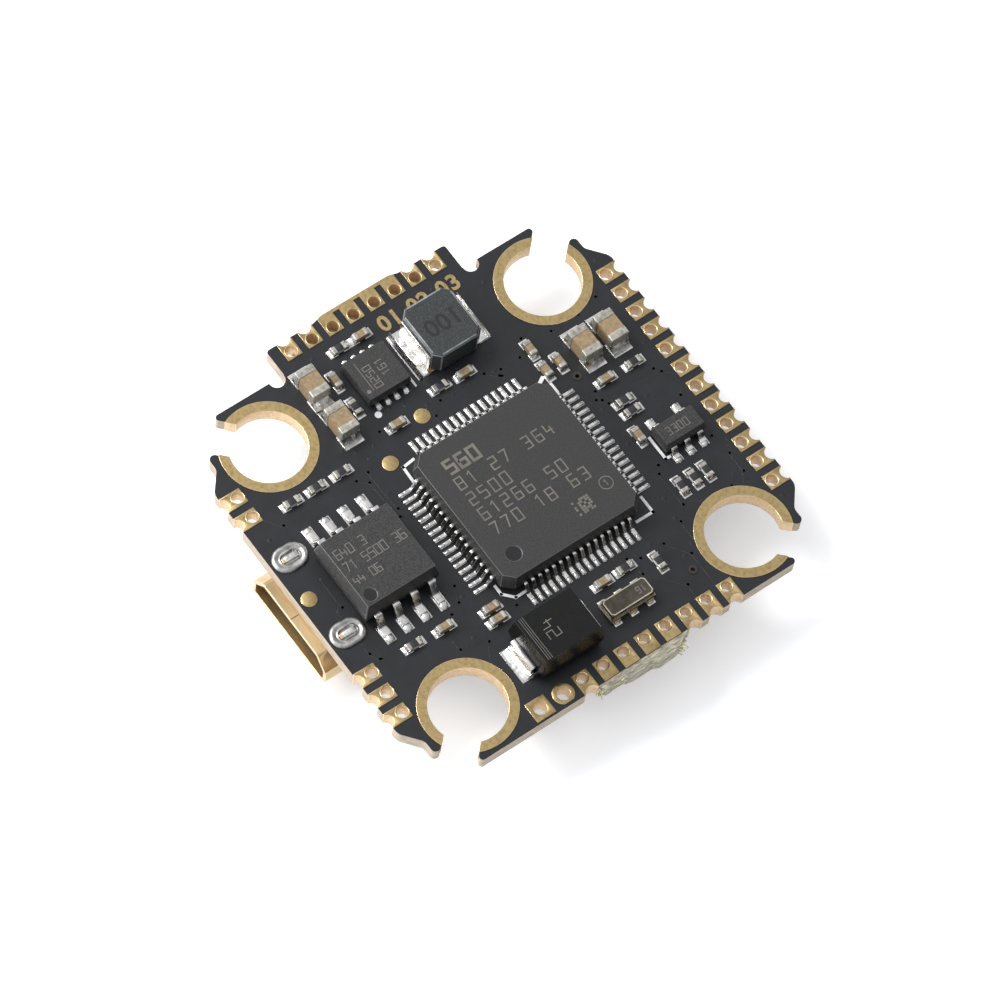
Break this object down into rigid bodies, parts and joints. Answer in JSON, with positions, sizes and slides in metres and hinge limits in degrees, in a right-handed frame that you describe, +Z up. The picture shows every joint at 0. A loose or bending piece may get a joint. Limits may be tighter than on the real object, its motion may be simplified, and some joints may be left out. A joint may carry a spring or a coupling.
{
  "type": "flight controller board",
  "caption": "Small square circuit board with slotted corner mounting holes, edge pads, a processor, power parts and a micro-USB socket.",
  "frame": {"origin": "centre of the four mounting holes, on the board's upper (processor side) face", "axes": "+Z up, out of the processor side; -Y towards the micro-USB edge; -X towards the wide tab"},
  "size_m": [0.0294, 0.0294, 0.0062],
  "materials": {
    "solder_mask_board": "charcoal solder mask on woven glass laminate",
    "gold_plating": "immersion gold over copper, slightly mottled",
    "mould_compound": "fine speckled moulding compound",
    "gloss_mould": "glossy black moulding compound",
    "tinned_metal": "bright tin",
    "solder": "bright solder",
    "ferrite": "grey speckled ferrite",
    "dark_ceramic": "dark ceramic",
    "lid_metal": "nickel-plated lid",
    "capacitor_ceramic": "tan ceramic",
    "white_ceramic": "white alumina",
    "resistor_glass": "black glass coat",
    "white_plastic": "natural nylon",
    "lamp_lens": "cloudy epoxy",
    "gold_shell": "polished gold-plated steel",
    "black_plastic": "black liquid-crystal polymer",
    "button_plastic": "pale nylon"
  },
  "bodies": {
    "board": {"boot_switch_base": "black_plastic", "boot_switch_cover": "tinned_metal", "boot_switch_dome": "tinned_metal", "boot_switch_feet": "tinned_metal", "circuit_board": "solder_mask_board", "controller_socket_clips": "tinned_metal", "controller_socket_housing": "white_plastic", "controller_socket_pins": "tinned_metal", "converter_body": "mould_compound", "converter_pads": "tinned_metal", "display_chip_body": "mould_compound", "display_chip_leads": "tinned_metal", "display_crystal_base": "dark_ceramic", "display_crystal_lid": "lid_metal", "end_pads": "gold_plating", "far_edge_pads": "gold_plating", "flash_body": "mould_compound", "flash_leads": "tinned_metal", "gyro_chip": "mould_compound", "gyro_pads": "gold_plating", "inductor_core": "ferrite", "inductor_terminals": "tinned_metal", "large_capacitor_bodies": "capacitor_ceramic", "large_capacitor_terminals": "tinned_metal", "mounting_hole_plating": "gold_plating", "port_edge_pads": "gold_plating", "processor_body": "mould_compound", "processor_leads": "tinned_metal", "regulator_body": "mould_compound", "regulator_leads": "tinned_metal", "resistor_bodies": "white_ceramic", "resistor_coats": "resistor_glass", "resistor_terminals": "tinned_metal", "resonator_base": "dark_ceramic", "resonator_lid": "lid_metal", "resonator_terminals": "gold_plating", "ring_vias": "gold_plating", "side_edge_pads": "gold_plating", "small_capacitor_bodies": "capacitor_ceramic", "small_capacitor_terminals": "tinned_metal", "status_lamp_bases": "white_plastic", "status_lamp_lenses": "lamp_lens", "surge_diode_body": "gloss_mould", "surge_diode_leads": "tinned_metal", "tab_edge_pads": "gold_plating", "test_pads": "gold_plating", "usb_anchor_solder": "solder", "usb_contacts": "gold_plating", "usb_shell": "gold_shell", "usb_tongue": "black_plastic"},
    "boot_button": {"boot_switch_button": "button_plastic"}
  },
  "joints": [
    {"name": "boot_button_press", "type": "slide", "parent": "board", "child": "boot_button", "axis": [0, 0, 1], "range_m": [0, 0.00025], "stiffness_N_per_m": 400, "springref_m": -0.0005, "deforming": ["boot_switch_dome"]}
  ]
}
